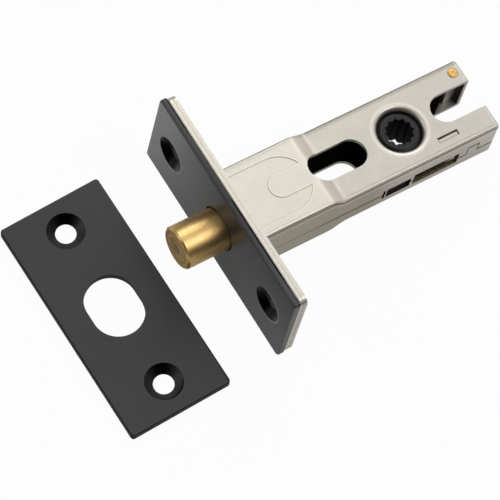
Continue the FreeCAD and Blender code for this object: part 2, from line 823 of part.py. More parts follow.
# Hub with its crank, drawn with the crank along Y and turned into place
hub = new_body("hub")
hub_shape = new_sketch(hub, "hub_outline", "XZ_Plane")
outline(
    hub_shape,
    [
        ("0", "-hub_half"),
        ("hub_edge", "-hub_half"),
        ("hub_radius", "-hub_edge_at"),
        ("hub_radius", "-hub_journal"),
        ("hub_waist", "-hub_journal"),
        ("hub_waist", "hub_journal"),
        ("hub_radius", "hub_journal"),
        ("hub_radius", "hub_edge_at"),
        ("hub_edge", "hub_half"),
        ("0", "hub_half"),
    ],
)
turned(hub, "PartDesign::Revolution", "hub_turning", hub_shape, "V_Axis")
crank = new_sketch(hub, "crank_outline", "XY_Plane")
box_outline(crank, "-crank_neck", "crank_neck", "0", "crank_throw")
both_ways(hub, "PartDesign::Pad", "crank_arm", crank, "crank_thick")
tip = new_sketch(hub, "tip_outline", "XY_Plane")
ring_outline(tip, "0", "crank_throw", "crank_tip")
both_ways(hub, "PartDesign::Pad", "crank_head", tip, "crank_thick")
star = new_sketch(hub, "star_outline", "XY_Plane")
star.AttachmentOffset = FreeCAD.Placement(
    FreeCAD.Vector(0, 0, 0), FreeCAD.Rotation(FreeCAD.Vector(0, 0, 1), size("crank_angle"))
)
box_outline(star, "-spindle_half", "spindle_half", "-spindle_half", "spindle_half")
square = through(hub, "spindle_square", star)
doc.recompute()
splines = hub.newObject("PartDesign::PolarPattern", "spindle_star")
splines.Originals = [square]
splines.Axis = (star, ["N_Axis"])
splines.Angle = 60.0
splines.Occurrences = 3
hub.Tip = splines
clear = new_sketch(hub, "spindle_clear_outline", "XY_Plane")
ring_outline(clear, "0", "0", "spindle_clear")
through(hub, "spindle_clearance", clear)
hub.Placement = FreeCAD.Placement(
    FreeCAD.Vector(size("hub_centre"), 0, 0),
    FreeCAD.Rotation(FreeCAD.Vector(0, 0, 1), -size("crank_angle")),
)

# Block and rivet that close the far prong
block = new_body("prong_block")
block_shape = new_sketch(block, "block_outline", "XY_Plane")
box_outline(block_shape, "-block_rear", "-block_front", "-block_out", "-block_in")
both_ways(block, "PartDesign::Pad", "block", block_shape, "block_tall")
block_hole = new_sketch(block, "block_hole_outline", "XY_Plane")
ring_outline(block_hole, "-rivet_back", "-rivet_side", "rivet_radius")
through(block, "block_hole", block_hole)

rivet = new_body("prong_rivet")
rivet_shape = new_sketch(rivet, "rivet_outline", "XY_Plane")
ring_outline(rivet_shape, "-rivet_back", "-rivet_side", "rivet_radius")
both_ways(rivet, "PartDesign::Pad", "rivet_bar", rivet_shape, "rivet_long")

# Keep, lying on the same table as the lock
keep = new_body("strike_plate")
keep_shape = new_sketch(keep, "keep_outline", "XY_Plane")
box_outline(keep_shape, "-half_width", "half_width", "-half_length", "half_length")
keep_pad = one_way(keep, "PartDesign::Pad", "keep_blank", keep_shape, "keep_thick")


def is_keep_corner(box):
    return near(box.ZLength, size("keep_thick"))


def is_keep_edge(box):
    return near(box.ZMin, size("keep_thick")) and near(box.ZLength, 0.0)


keep_base = rounded(keep, "keep_corners", keep_pad, is_keep_corner, "keep_corner")
rounded(keep, "keep_edge", keep_base, is_keep_edge, "keep_round")
keep_hole = new_sketch(keep, "keep_slot_outline", "XY_Plane")
outline(
    keep_hole,
    [
        ("keep_slot_half", "-keep_slot_run"),
        ("keep_slot_half", "keep_slot_run"),
        ("-keep_slot_half", "keep_slot_run"),
        ("-keep_slot_half", "-keep_slot_run"),
    ],
    {
        1: (("0", "keep_slot_run"), 1),
        3: (("0", "-keep_slot_run"), 1),
    },
)
through(keep, "keep_slot", keep_hole)
keep_screws = new_sketch(keep, "keep_screw_outline", "XY_Plane", "keep_thick")
ring_outline(keep_screws, "0", "keep_screw_half", "screw_radius")
ring_outline(keep_screws, "0", "-keep_screw_half", "screw_radius")
doc.recompute()
keep_sinks = keep.newObject("PartDesign::Hole", "keep_screw_holes")
keep_sinks.Profile = keep_screws
keep_sinks.ThreadType = "None"
keep_sinks.DepthType = "ThroughAll"
keep_sinks.setExpression("Diameter", link("screw_hole"))
keep_sinks.HoleCutType = "Countersink"
keep_sinks.setExpression("HoleCutDiameter", link("keep_sink"))
keep_sinks.setExpression("HoleCutCountersinkAngle", link("keep_sink_angle"))
keep.Tip = keep_sinks
tilted = FreeCAD.Rotation(FreeCAD.Vector(0, 1, 0), size("keep_tilt"))
swung = FreeCAD.Rotation(FreeCAD.Vector(0, 0, 1), size("keep_turn"))
keep.Placement = FreeCAD.Placement(
    FreeCAD.Vector(size("keep_ahead"), size("keep_aside"), -size("keep_drop")),
    tilted.multiply(swung),
)

for body in (upper, lower, faceplate, forend, guide, nose, pin, slide, leaf):
    body.setExpression("Placement.Base.x", link("plate_back"))
for body in (slot_lining, notch_lining, block, rivet):
    body.setExpression("Placement.Base.x", link("plate_back"))
hub.setExpression("Placement.Base.x", "Sizes.plate_back - Sizes.hub_back")
keep.setExpression("Placement.Base.x", "Sizes.plate_back + Sizes.keep_ahead")

doc.recompute()
for item in doc.Objects:
    if "Invalid" in item.State or "Error" in item.State:
        raise RuntimeError("%s: %s" % (item.Name, item.State))
for body in doc.Objects:
    if body.TypeId != "PartDesign::Body":
        continue
    shape = body.Shape
    if shape.isNull() or not shape.isValid():
        raise RuntimeError("%s is not a valid solid" % body.Label)
    shape.exportStep("parts/%s.step" % body.Label)
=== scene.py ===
import math

import bpy
from mathutils import Matrix, Vector


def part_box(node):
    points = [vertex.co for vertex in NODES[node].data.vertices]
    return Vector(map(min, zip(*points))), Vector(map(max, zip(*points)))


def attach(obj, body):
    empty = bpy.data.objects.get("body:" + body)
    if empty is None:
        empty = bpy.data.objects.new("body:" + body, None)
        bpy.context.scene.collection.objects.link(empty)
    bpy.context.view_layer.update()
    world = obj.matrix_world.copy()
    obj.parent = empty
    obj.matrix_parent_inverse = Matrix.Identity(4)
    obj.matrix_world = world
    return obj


bl_info = {
    "name": "Privacy bolt",
    "version": (1, 0, 0),
    "blender": (4, 5, 0),
    "location": "View3D > Sidebar > Privacy bolt",
    "description": "Finishes, rivet heads and studio for a privacy bolt and its keep",
    "category": "Object",
}

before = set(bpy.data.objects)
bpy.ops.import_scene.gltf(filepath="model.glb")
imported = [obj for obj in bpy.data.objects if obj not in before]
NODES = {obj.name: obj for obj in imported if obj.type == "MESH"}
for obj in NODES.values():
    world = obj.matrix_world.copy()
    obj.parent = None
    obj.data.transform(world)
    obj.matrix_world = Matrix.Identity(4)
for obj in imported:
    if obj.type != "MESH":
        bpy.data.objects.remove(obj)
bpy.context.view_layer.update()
MM = 0.001

# Places in a finish are in millimetres from the forend's seat, across, along and up
# Two numbers are where a soft step starts and ends
# Three numbers are the low and the high side of a band, and how soft its sides are
# A wash, a stain or a painted shade is a tint of the finish's own colour and the share that it
# covers
# A grain is the scale, the detail and the roughness of a noise
# A relief is the strength and the depth of a bump
# A rough pair is the least roughness and what the finish's marks add to it
SCREW_HALF = 20.7
NEAR_HALF = (-1.0, 1.0)
UPPER_HALF = (0.0, 1.0)
HUB_PLACE = -43.45
# Near black laid as painted shade on edges, in window gaps and inside the case
INNER_SHADE = (0.016, 0.013, 0.011)


# Shader maths
class Value:
    """A socket that adds Math nodes when it is used in an expression."""

    def __init__(self, nodes, socket):
        self.nodes = nodes
        self.socket = socket

    def math(self, operation, *values):
        settings = {"operation": operation}
        made = self.nodes.node("ShaderNodeMath", settings, dict(enumerate(values)))
        return Value(self.nodes, made.outputs[0])

    def __add__(self, other):
        return self.math("ADD", self, other)

    def __radd__(self, other):
        return self.math("ADD", other, self)

    def __sub__(self, other):
        return self.math("SUBTRACT", self, other)

    def __rsub__(self, other):
        return self.math("SUBTRACT", other, self)

    def __mul__(self, other):
        return self.math("MULTIPLY", self, other)

    def __rmul__(self, other):
        return self.math("MULTIPLY", other, self)

    def absolute(self):
        return self.math("ABSOLUTE", self)

    def least(self, other):
        return self.math("MINIMUM", self, other)

    def most(self, other):
        return self.math("MAXIMUM", self, other)

    def distance(self, other):
        """How far a point lies from the origin, when this is its X and the other its Y."""
        return self.math("POWER", self * self + other * other, 0.5)

    def above(self, least, gain):
        """A number that starts at least and grows with this value."""
        return least + self * gain

    def step(self, start, end):
        """0 before start, 1 after end, smooth between."""
        settings = {"interpolation_type": "SMOOTHSTEP", "clamp": True}
        values = {"Value": self, "From Min": start, "From Max": end}
        made = self.nodes.node("ShaderNodeMapRange", settings, values)
        return Value(self.nodes, made.outputs[0])

    def fall(self, start, end):
        """1 before start, 0 after end, smooth between."""
        return 1 - self.step(start, end)

    def band(self, low, high, soft):
        """1 between low and high, fading out over soft on either side."""
        return self.step(low - soft, low + soft) * self.fall(high - soft, high + soft)


class Nodes:
    """A node tree and the helpers that fill it."""

    def __init__(self, tree, output):
        self.tree = tree
        self.tree.nodes.clear()
        self.output = self.tree.nodes.new(output)

    def node(self, kind, settings=None, values=None):
        """Adds a node, with its settings first and then what its sockets get."""
        made = self.tree.nodes.new(kind)
        for key, setting in (settings or {}).items():
            setattr(made, key, setting)
        for key, value in (values or {}).items():
            self.feed(made.inputs[key], value)
        return made

    def feed(self, socket, value):
        """Links a socket, or sets its number, vector or colour."""
        if isinstance(value, Value):
            value = value.socket
        if isinstance(value, bpy.types.NodeSocket):
            self.tree.links.new(value, socket)
        elif isinstance(value, tuple) and len(socket.default_value) == 4:
            socket.default_value = (*value, 1.0)
        else:
            socket.default_value = value


class Finish(Nodes):
    """One procedural material, whose tones are laid over each other."""

    def __init__(self, name, colour):
        self.material = bpy.data.materials.new(name)
        self.material.use_nodes = True
        super().__init__(self.material.node_tree, "ShaderNodeOutputMaterial")
        self.colour = tuple(colour)
        self.shade = self.colour
        source = self.node("ShaderNodeTexCoord").outputs["Object"]
        values = {0: source, "Scale": 1.0 / MM}
        self.place = self.node("ShaderNodeVectorMath", {"operation": "SCALE"}, values).outputs[0]

    def split(self, vector):
        parts = self.node("ShaderNodeSeparateXYZ", None, {0: vector})
        return tuple(Value(self, out) for out in parts.outputs)

    def axes(self):
        """The place on the piece, as three values."""
        return self.split(self.place)

    def facing(self):
        """The surface's own direction, as three values."""
        return self.split(self.node("ShaderNodeNewGeometry").outputs["Normal"])

    def stretch(self, sizes):
        """The place, drawn out by another amount along each axis."""
        values = {"Vector": self.place, "Scale": sizes}
        return self.node("ShaderNodeMapping", None, values).outputs[0]

    def combine(self, *parts):
        """One vector from up to three values."""
        return self.node("ShaderNodeCombineXYZ", None, dict(enumerate(parts))).outputs[0]

    def noise(self, scale, detail, rough, vector=None):
        """A value between 0 and 1 that drifts over the surface or over a vector."""
        values = {"Scale": scale, "Detail": detail, "Roughness": rough}
        values["Vector"] = self.place if vector is None else vector
        return Value(self, self.node("ShaderNodeTexNoise", None, values).outputs[0])

    def blend(self, mask, first, second):
        """The first colour where the mask is 0, and the second where it is 1."""
        values = {0: mask, 6: first, 7: second}
        return self.node("ShaderNodeMix", {"data_type": "RGBA"}, values).outputs[2]

    def lay(self, mask, tone, share=1.0):
        """Covers a share of the shade with a tone where the mask is 1."""
        if share < 1.0:
            mask = mask * share
        self.shade = self.blend(mask, self.shade, tone)

    def wash(self, mask, tint, share=1.0):
        """Lays a tint of the finish's own colour."""
        self.lay(mask, tinted(self.colour, tint), share)

    def surface(self, rough, metal, height, strength, depth, fixed=None):
        """Makes the shader from the shade, and gives back the finished material."""
        relief = {"Height": height, "Strength": strength, "Distance": depth}
        values = {"Base Color": self.shade, "Roughness": rough, "Metallic": metal}
        values["Normal"] = self.node("ShaderNodeBump", None, relief).outputs[0]
        shader = self.node("ShaderNodeBsdfPrincipled", None, {**values, **(fixed or {})})
        self.feed(self.output.inputs[0], shader.outputs[0])
        return self.material


def tinted(colour, cut):
    """The colour times one number, or times a number for each of its channels."""
    cuts = cut if isinstance(cut, tuple) else (cut, cut, cut)
    return tuple(min(1.0, channel * part) for channel, part in zip(colour, cuts))


def outline(first, second, box, half, soft):
    """Line of the given half width along the edges of a rectangle."""
    (left, right), (low, high) = box
    off_first = (first - (left + right) / 2).absolute() - (right - left) / 2
    off_second = (second - (low + high) / 2).absolute() - (high - low) / 2
    return off_first.most(off_second).absolute().fall(half, half + soft)


def wear(material, *objects):
    """Puts a material on CAD nodes or pieces in place of what they had."""
    for thing in objects:
        thing.data.materials.clear()
        thing.data.materials.append(material)


def deselect():
    bpy.ops.object.select_all(action="DESELECT")


# Settings a user would change
class FinishSettings(bpy.types.PropertyGroup):
    """Colours of the finishes"""

    black: bpy.props.FloatVectorProperty(
        name="Black coat",
        description="Colour of the coated plates",
        subtype="COLOR",
        size=3,
        default=(0.0395, 0.0395, 0.0415),
    )
    nickel: bpy.props.FloatVectorProperty(
        name="Nickel",
        description="Colour of the plated case",
        subtype="COLOR",
        size=3,
        default=(0.66, 0.62, 0.55),
    )
    brass: bpy.props.FloatVectorProperty(
        name="Brass",
        description="Colour of the turned bolt and of the rivet",
        subtype="COLOR",
        size=3,
        default=(0.92, 0.63, 0.26),
    )
    casting: bpy.props.FloatVectorProperty(
        name="Casting",
        description="Colour of the hub and the slide",
        subtype="COLOR",
        size=3,
        default=(0.011, 0.011, 0.012),
    )
    nylon: bpy.props.FloatVectorProperty(
        name="Nylon",
        description="Colour of the linings and the guide",
        subtype="COLOR",
        size=3,
        default=(0.0055, 0.0046, 0.0035),
    )
    bronze: bpy.props.FloatVectorProperty(
        name="Bronze",
        description="Colour of the friction spring",
        subtype="COLOR",
        size=3,
        default=(0.15, 0.10, 0.055),
    )


class StudioSettings(bpy.types.PropertyGroup):
    """Places of the camera and the table"""

    camera_place: bpy.props.FloatVectorProperty(
        name="Camera place",
        description="Where the camera stands",
        subtype="XYZ",
        unit="LENGTH",
        size=3,
        default=(0.260554, 0.243590, 0.677540),
    )
    camera_turn: bpy.props.FloatVectorProperty(
        name="Camera turn",
        description="How the camera is turned",
        subtype="EULER",
        unit="ROTATION",
        size=3,
        default=tuple(math.radians(angle) for angle in (26.2221, -8.2853, 148.4662)),
    )
    lens: bpy.props.FloatProperty(
        name="Lens",
        description="Focal length in millimetres, on a sensor 36 mm wide",
        unit="CAMERA",
        default=250.0,
    )
    table_tilt: bpy.props.FloatProperty(
        name="Table tilt",
        description="Angle between the lock's wide faces and the table that it leans on",
        subtype="ANGLE",
        default=math.radians(6.2),
    )
    table_drop: bpy.props.FloatProperty(
        name="Table drop",
        description="Depth of the table below the forend's seat",
        unit="LENGTH",
        default=12.7 * MM,
    )


# Black plates, with the keep lying beyond the bolt
BLACK_GRAIN = (9.0, 3.0, 0.6)
BLACK_CLOUD = (0.12, 2.0, 0.5)
BLACK_SATIN = (1.3, 3.0, 0.6)
SATIN_PATCH = (0.35, 0.65)
SATIN_WASH = (0.7, 0.25)
CLOUD_WASH = (1.3, 0.5)
KEEP_FROM = (6.0, 8.0)
# Where a painted reflection pales the forend
FAR_END = (-32.0, 4.0)
LOW_EDGE = (-13.0, 6.0)
LOW_SHARE = 0.22
REFLECTION_TINT = (7.8, 8.3, 7.7)
EDGE_FACING = (0.6, 0.9)
EDGE_ALONG = (0.0, 24.0)
EDGE_HIGHLIGHT_TINT = 1.5
EDGE_DARKNESS = 0.9
PLATE_SEAM = (2.2, 2.5)
SINK_RADIUS = 4.2
SINK_DARK = (SINK_RADIUS + 0.05, SINK_RADIUS + 0.25)
SINK_RIM = (SINK_RADIUS + 0.22, SINK_RADIUS + 0.52, 0.12)
RIM_FACING = (0.2, 0.6)
RIM_SIDE = (-4.0, 1.0)
RIM_HIGHLIGHT_WASH = (11.0, 0.8)
CONE_FACING = (0.75, 0.9)
LIT_SIDE = (-0.5, 5.0)
HOLE_SHADE = (0.006, 0.006, 0.007)
KEEP_LIT = (0.026, 0.026, 0.027)
FOREND_LIT = (0.060, 0.060, 0.058)
KEEP_FADE = (0.0, 14.0)
KEEP_LIGHT_WASH = (2.0, 0.22)
KEEP_LINE = (0.60, 0.95)
KEEP_LINE_DARKNESS = 0.85
KEEP_HOLE = (4.6, 5.0)
BLACK_ROUGH = (0.40, 0.05)
CLOUD_ROUGH = 0.06
FOREND_GLOSS = 0.12
BLACK_RELIEF = (0.08, 0.02 * MM)
BLACK_IOR = 1.55


def black_coat(colour):
    """Satin black coat, with a painted reflection that pales the forend's far end and low edge,
    and painted shade in every hole.
    """
    finish = Finish("black_coat", colour)
    across, along, up = finish.axes()
    facing_x, _, facing_z = finish.facing()
    keep = across.step(*KEEP_FROM)
    forend = 1 - keep

    grain = finish.noise(*BLACK_GRAIN)
    cloud = finish.noise(*BLACK_CLOUD)
    satin = finish.noise(*BLACK_SATIN).step(*SATIN_PATCH)
    finish.wash(cloud, *CLOUD_WASH)
    finish.wash(satin, *SATIN_WASH)
    # The forend is painted paler towards its far end and its low edge, as a painted reflection
    painted_reflection = along.fall(*FAR_END).most(up.fall(*LOW_EDGE) * LOW_SHARE)
    finish.wash(painted_reflection * forend, REFLECTION_TINT)

    (keep_side, _, _), (keep_end, _, _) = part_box("strike_plate")
    from_side = across - keep_side / MM
    from_middle = across - (keep_side + keep_end) / 2 / MM
    # The keep is painted paler near its inner side, as painted light
    finish.wash(from_side.fall(*KEEP_FADE) * keep, *KEEP_LIGHT_WASH)

    # The faceplate's edges get a painted highlight towards the near end and painted shade
    # elsewhere
    edge = facing_x.absolute().fall(*EDGE_FACING) * forend
    seam = edge * across.fall(*PLATE_SEAM)
    near = along.step(*EDGE_ALONG)
    finish.wash((edge - seam) * near, EDGE_HIGHLIGHT_TINT)
    finish.lay((edge - seam) * (1 - near), INNER_SHADE, EDGE_DARKNESS)

    # Painted shade in the countersinks, on the keep's cones and sides and in the seam by the
    # nickel plate; each hole's lit side is painted paler
    screw = along.absolute() - SCREW_HALF
    aside = along - (along.step(*NEAR_HALF) * (2 * SCREW_HALF) - SCREW_HALF)
    radius = screw.distance(up)
    sunk = (radius.fall(*SINK_DARK) * forend).most(facing_z.fall(*CONE_FACING) * keep)
    in_hole = forend.most(screw.distance(from_middle).fall(*KEEP_HOLE))
    lit = (aside - from_middle * keep).step(*LIT_SIDE) * in_hole
    lit_tone = finish.blend(forend, KEEP_LIT, FOREND_LIT)
    dark = sunk.most(seam)
    finish.lay(dark, finish.blend(lit, HOLE_SHADE, lit_tone))
    # A dark line along the keep's inner edge, painted shade
    finish.lay(from_side.fall(*KEEP_LINE) * keep, INNER_SHADE, KEEP_LINE_DARKNESS)
    # A painted highlight on the lower rim of each countersink
    rim = radius.band(*SINK_RIM) * facing_x.step(*RIM_FACING) * forend
    finish.wash(rim * aside.step(*RIM_SIDE), *RIM_HIGHLIGHT_WASH)

    rough = grain.above(*BLACK_ROUGH) - forend * FOREND_GLOSS + cloud * CLOUD_ROUGH
    metal = dark * (1 - lit * sunk)
    return finish.surface(rough, metal, grain, *BLACK_RELIEF, {"IOR": BLACK_IOR})


class PRIVACY_OT_plates(bpy.types.Operator):
    """Satin black coat of the faceplate and of the keep"""

    bl_idname = "privacy.plates"
    bl_label = "Black plates"

    def execute(self, context):
        material = black_coat(context.scene.privacy_finish.black)
        wear(material, NODES["faceplate"], NODES["strike_plate"])
        return {"FINISHED"}


# Nickel plating
NICKEL_GRAIN = (6.0, 4.0, 0.65)
NICKEL_CLOUD = (0.16, 2.0, 0.5)
NICKEL_FLECK = (1.4, 3.0, 0.6)
NICKEL_MOTTLE = (2.2, 3.0, 0.7)
CLOUD_PATCH = (0.3, 0.7)
FLECK_PATCH = (0.45, 0.75)
MOTTLE_PATCH = (0.40, 0.62)
NICKEL_CLOUD_WASH = (0.90, 0.5)
FLECK_WASH = (0.90, 0.30)
MOTTLE_WASH = (0.86, 0.5)
GRAIN_HEIGHT = 0.6
FLECK_HEIGHT = 0.4
NICKEL_ROUGH = (0.36, 0.06)
NICKEL_CLOUD_ROUGH = 0.03
CLEAN_TINT = 1.08
PALE_TINT = 1.4
STAIN_AND_SHADE_TINT = (1.0, 0.90, 0.76)
NICKEL_METAL = 0.9


class Nickel(Finish):
    """Dull nickel plating: fine grain, faint clouds, flecks and mottling."""

    def __init__(self, name, colour):
        super().__init__(name, colour)
        self.shade = tinted(colour, CLEAN_TINT)
        grain = self.noise(*NICKEL_GRAIN)
        cloud = self.noise(*NICKEL_CLOUD)
        fleck = self.noise(*NICKEL_FLECK)
        self.wash(cloud.step(*CLOUD_PATCH), *NICKEL_CLOUD_WASH)
        self.wash(fleck.step(*FLECK_PATCH), *FLECK_WASH)
        self.wash(self.noise(*NICKEL_MOTTLE).step(*MOTTLE_PATCH), *MOTTLE_WASH)
        self.height = grain * GRAIN_HEIGHT + fleck * FLECK_HEIGHT
        self.rough = grain.above(*NICKEL_ROUGH) + cloud * NICKEL_CLOUD_ROUGH

    def stain_and_shade(self, mask, depth, share=1.0):
        """Lays a browner and darker tone: painted shade along bends, seams, outlines and hollows,
        and a stain on the torn blanking line.
        """
        self.lay(mask, tinted(tinted(self.colour, STAIN_AND_SHADE_TINT), depth), share)

    def paint_highlight(self, mask, share):
        """Lays a paler tone, a painted highlight where the plating should look bright."""
        self.wash(mask, PALE_TINT, share)


# Inner forend plate
TORN_PLACE = 0.95
TORN_WANDER = 0.6
TORN_LINE = (0.04, 0.30)
TORN_FACING = (0.3, 0.6)
TORN_STAIN = (0.45, 0.45)
TORN_ROUGH = 0.1
TORN_DEPTH = 1.2
WANDER_GRAIN = (1.1, 2.0, 0.5)
CORNER_FACING = (0.50, 0.62, 0.06)
CORNER_END = (0.5, 0.7)
CORNER_DARKENING = (0.15, 0.7)
PLATE_TOP = (0.5, 0.8)
PLATE_TOP_SHINE = 0.45
BORE_RADIUS = (2.7, 2.9)
BORE_FROM = (-0.2, 0.0)
BORE_DARK = (0.012, 0.012, 0.012)
BORE_DARKNESS = 0.97
PLATE_RELIEF = (0.22, 0.04 * MM)


def nickel_plate(colour):
    """Inner forend plate, with the torn line that blanking leaves along its edge, a painted
    highlight on its top side, a darker near upper corner and painted shade in its screw bores.
    """
    finish = Nickel("nickel_plate", colour)
    across, along, up = finish.axes()
    facing_x, facing_y, facing_z = finish.facing()
    wander = (finish.noise(*WANDER_GRAIN) - 0.5) * TORN_WANDER
    torn = (across - TORN_PLACE + wander).absolute().fall(*TORN_LINE)
    torn = torn * facing_x.absolute().fall(*TORN_FACING)
    finish.stain_and_shade(torn, *TORN_STAIN)
    # Darker along the rounding of the near upper corner
    finish.stain_and_shade(facing_z.band(*CORNER_FACING) * facing_y.step(*CORNER_END), *CORNER_DARKENING)
    # The plate's top side is painted paler, as painted light
    finish.paint_highlight(facing_z.step(*PLATE_TOP), PLATE_TOP_SHINE)
    # Painted shade inside the screw bores
    bore = (along.absolute() - SCREW_HALF).distance(up).fall(*BORE_RADIUS)
    bore = bore * across.step(*BORE_FROM)
    finish.lay(bore, BORE_DARK, BORE_DARKNESS)
    rough = finish.rough + torn * TORN_ROUGH
    metal = NICKEL_METAL - bore * NICKEL_METAL
    return finish.surface(rough, metal, finish.height - torn * TORN_DEPTH, *PLATE_RELIEF)


# Case: walls, with the top paler towards the forend, as painted light
REARWARD = (-64.0, -8.0)
REARWARD_SHADE_WASH = (0.81, 0.55)
WALL_FACING = (0.7, 0.9)
WALL_SIDE = (9.0, 9.3)
WALL_FRONT = (-40.0, -30.0)
FRONT_WALL_SHADE = (0.66, 0.7)
REAR_WALL_SHINE = 0.27

# Case: bends along its sides, with painted shade and painted highlights
BEND_ARC = (8.7, 9.0)
BEND_FACING = (0.30, 0.86, 0.10)
NEAR_BEND = 0.75
FAR_BEND = 0.25
BEND_SHADE = 0.30
ROLLED_FACING = (0.45, 0.80, 0.08)
ROLLED_SHINE = 0.7
WALL_OUTSIDE = (9.2, 9.4)
UNDER_LINE = (0.42, 1.02, 0.12)
UNDER_DROP = 0.15
UNDER_SHADE = (0.08, 0.85)
LOWER_LINE = (0.9, 3.4)
LOWER_SHINE = 0.35
BEFORE_LINE = (8.50, 8.72, 0.10)
BEFORE_SHADE = (0.35, 0.35)
FLAT_FACING = (0.9, 0.98)
FAR_FADE = (7.9, 9.5)
FADE_FACING = (0.3, 0.9)
FADE_SHADE = (0.33, 0.95)

# Case: joggle between the high front and the low rear, with painted light on its slope, creases
# and front top
JOGGLE_FOOT = -23.1
JOGGLE_RIDGE = -19.7
JOGGLE_SOFT = 0.15
FRONT_HIGH = 7.56
REAR_HIGH = 5.88
TOP_FACING = (0.6, 0.8)
CREASE_LINE = (0.10, 0.45)
CREASE_SHINE = 0.50
FRONT_SHINE = 0.40
SLOPE_LIGHT_TINT = (1.372, 1.288, 1.134)
SLOPE_SHARE = 0.38

# Case: fork-shaped line behind the forend, as a painted highlight beside painted shade, of which
# a line is its half width and softness
FORK_CENTRE = -11.5
FORK_OUTER = 7.0
FORK_INNER = 3.0
FORK_FRONT = (-1.9, -1.8)
FORK_SIDE = (2.9, 3.0)
FORK_REAR = (6.95, 7.05)
FORK_LIT_SHIFT = 0.20
FORK_LIT_LINE = (0.04, 0.12)
FORK_LIT_SHINE = 0.6
FORK_DARK_LINE = (0.03, 0.10)
FORK_SHADE = (0.40, 0.4)

# Case: cut sheet in the windows, raw at the rear windows and in painted shade elsewhere, and the
# room inside
SHEET_CUT = (8.55, 9.44, 0.03)
SHEET_FACING = (0.3, 0.6)
SHEET_HEIGHT = (4.2, 4.5)
SHEET_OUTER = (8.72, 8.88)
REAR_WINDOWS = (-42.4, -42.0)
RAW_GRAIN = (3.0, 4.0, 0.7)
RAW_PATCH = (0.42, 0.58)
RAW_DARK = (0.022, 0.016, 0.006)
RAW_LIGHT = (0.34, 0.26, 0.115)
ROOM_SIDE = (8.50, 8.54)
ROOM_HEIGHT = (4.86, 4.88)
ROOM_REAR = (-55.5, -55.0)
PRONG_ROOM_FRONT = (-60.8, -60.4)
PRONG_ROOM_REAR = (-63.9, -63.7)
ROOM_DARKNESS = 0.93
WALL_OR_END = (0.5, 0.8)

# Case: seam between the shells, with its tab and the long window, in painted shade
SEAM_HALF = 1.5
SEAM_LINE = (0.20, 0.40)
SEAM_FRONT = (-22.0, -14.0)
SEAM_FRONT_LOSS = 0.75
SEAM_SIDE = (3.0, 3.6)
SEAM_DARK = (0.020, 0.014, 0.009)
SEAM_DARKNESS = 0.92
TAB_REAR = -59.8
TAB_FRONT = -56.9
TAB_SOFT = 0.02
TAB_HEIGHT = (-1.3, 1.7, 0.05)
TAB_LINE = (0.05, 0.18)
LONG_WINDOW = ((-54.6, -42.5), (-3.35, 0.95))
WINDOW_LINE = (0.04, 0.16)
WINDOW_SHADE = (0.35, 0.45)
NEAR_WALL = (0.0, 1.0)

# Case: lance, hub collar, rivet and rear lip
LANCE_BOX = ((-54.95, -49.8), (5.75, 6.9))
LANCE_HEIGHT = (5.0, 5.3)
LANCE_LINE = (0.05, 0.16)
LANCE_SHADE = (0.22, 0.80)
ROLL_OUTER = (5.5, 6.25)
ROLL_INNER = (4.0, 4.2)
ROLL_SHADE = (0.16, 0.15)
HALO_RING = (5.9, 6.9, 0.35)
HALO_SHINE = 0.40
COLLAR = (5.1, 6.3, 0.25)
COLLAR_LIT = (-3.0, 5.0)
COLLAR_SHINE = 0.8
RIVET_ACROSS = -62.05
RIVET_ALONG = -6.77
RIVET_RADIUS = 1.16
RIVET_LINE = (0.06, 0.20)
RIVET_SHADE = (0.12, 0.85)
REAR_LIP = (-64.2, -63.3)
LIP_SHINE = 0.5

# Case: what its places do to the shine, the metal and the relief
HALO_GLOSS = 0.06
SHEET_ROUGH = 0.2
SHEET_DULL = 0.7
DARK_DULL = 0.8
COLLAR_DULL = 0.5
SEAM_DEPTH = 2.0
CASE_RELIEF = (0.20, 0.04 * MM)


